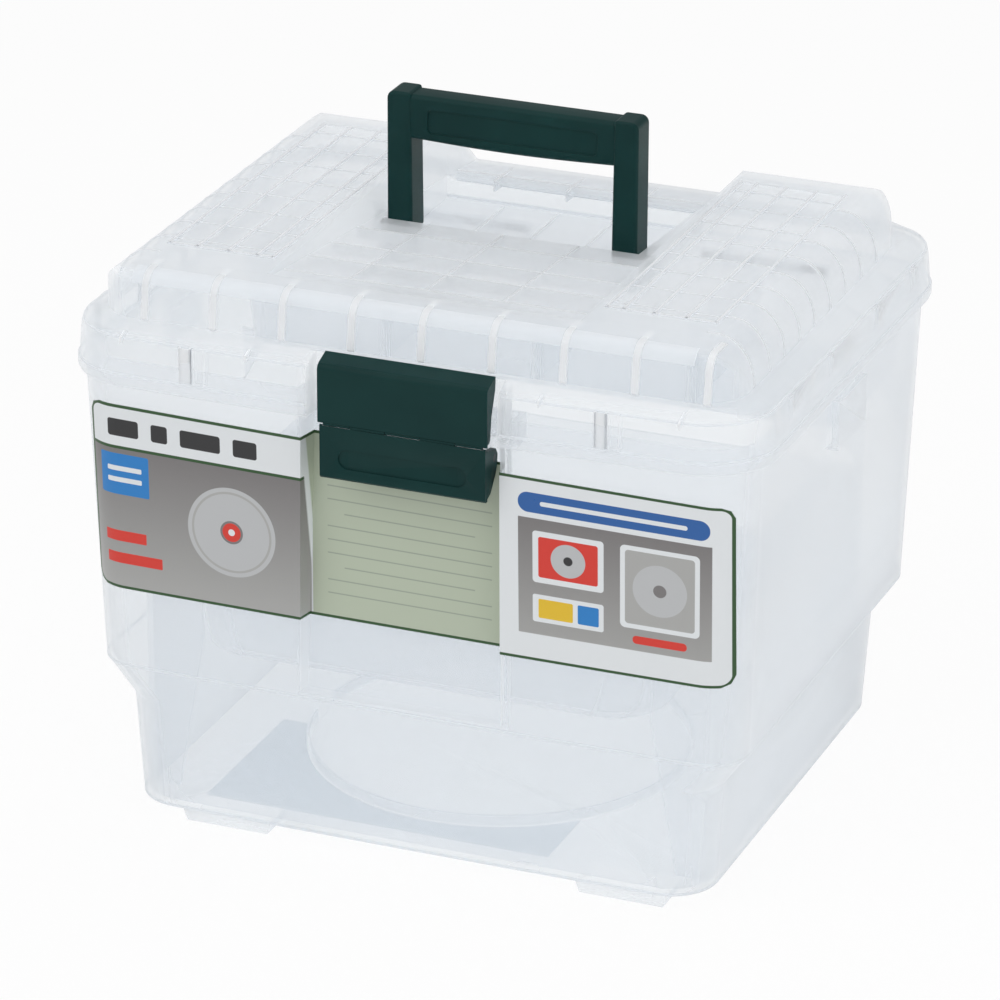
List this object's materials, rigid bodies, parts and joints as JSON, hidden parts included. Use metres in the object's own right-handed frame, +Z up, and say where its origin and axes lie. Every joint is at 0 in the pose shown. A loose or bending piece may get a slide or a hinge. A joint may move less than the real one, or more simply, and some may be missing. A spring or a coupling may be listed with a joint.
{
  "type": "saw blade storage case",
  "caption": "Translucent plastic carry case with a hinged lid, folding handle, front latch, lift-out saw tray over a blade well and a divided parts tray.",
  "frame": {"origin": "on the ground under the middle of the case's outline, which runs from -153.5 to 153.4 mm front to back", "axes": "+Z up, the latch and label face -Y, +X to the right seen from the front"},
  "size_m": [0.37, 0.3068, 0.3585],
  "materials": {
    "milky_plastic": "satin",
    "green_plastic": "satin",
    "pin_steel": "satin",
    "printed_paper": "gloss"
  },
  "bodies": {
    "body": {"body_shell": "milky_plastic", "front_sheet": "printed_paper", "hinge_pin_left": "pin_steel", "hinge_pin_right": "pin_steel", "latch_pivot_pin": "pin_steel"},
    "lid": {"lid_shell": "milky_plastic"},
    "handle": {"handle_bail": "green_plastic"},
    "lever": {"latch_lever": "green_plastic", "latch_link_pin": "pin_steel"},
    "hook": {"latch_hook": "green_plastic"},
    "saw_insert": {"saw_tray": "milky_plastic"},
    "parts_insert": {"accessory_tray": "milky_plastic"},
    "left_divider": {"divider_left": "milky_plastic"},
    "middle_divider": {"divider_middle": "milky_plastic"},
    "right_divider": {"divider_right": "milky_plastic"}
  },
  "joints": [
    {"name": "lid_hinge", "type": "hinge", "parent": "body", "child": "lid", "pos_m": [0, 0.1492, 0.236], "axis": [-1, 0, 0], "range_deg": [0, 105]},
    {"name": "handle_pivot", "type": "hinge", "parent": "lid", "child": "handle", "pos_m": [-0.0012, 0.01, 0.283], "axis": [-1, 0, 0], "range_deg": [0, 90]},
    {"name": "latch_lever_pivot", "type": "hinge", "parent": "body", "child": "lever", "pos_m": [0.0035, -0.1398, 0.23], "axis": [-1, 0, 0], "range_deg": [0, 35]},
    {"name": "latch_crease_pivot", "type": "hinge", "parent": "lever", "child": "hook", "pos_m": [0.0035, -0.151, 0.239], "axis": [1, 0, 0], "range_deg": [0, 80]},
    {"name": "saw_tray_lift", "type": "slide", "parent": "body", "child": "saw_insert", "axis": [0, 0, 1], "range_m": [0, 0.045]},
    {"name": "parts_tray_lift", "type": "slide", "parent": "body", "child": "parts_insert", "axis": [0, 0, 1], "range_m": [0, 0.014]},
    {"name": "left_divider_lift", "type": "slide", "parent": "parts_insert", "child": "left_divider", "axis": [0, 0, 1], "range_m": [0, 0.01]},
    {"name": "middle_divider_lift", "type": "slide", "parent": "parts_insert", "child": "middle_divider", "axis": [0, 0, 1], "range_m": [0, 0.01]},
    {"name": "right_divider_lift", "type": "slide", "parent": "parts_insert", "child": "right_divider", "axis": [0, 0, 1], "range_m": [0, 0.01]}
  ],
  "couplings": [
    {"joint": "latch_crease_pivot", "follows": "latch_lever_pivot", "ratio": 2.2}
  ]
}
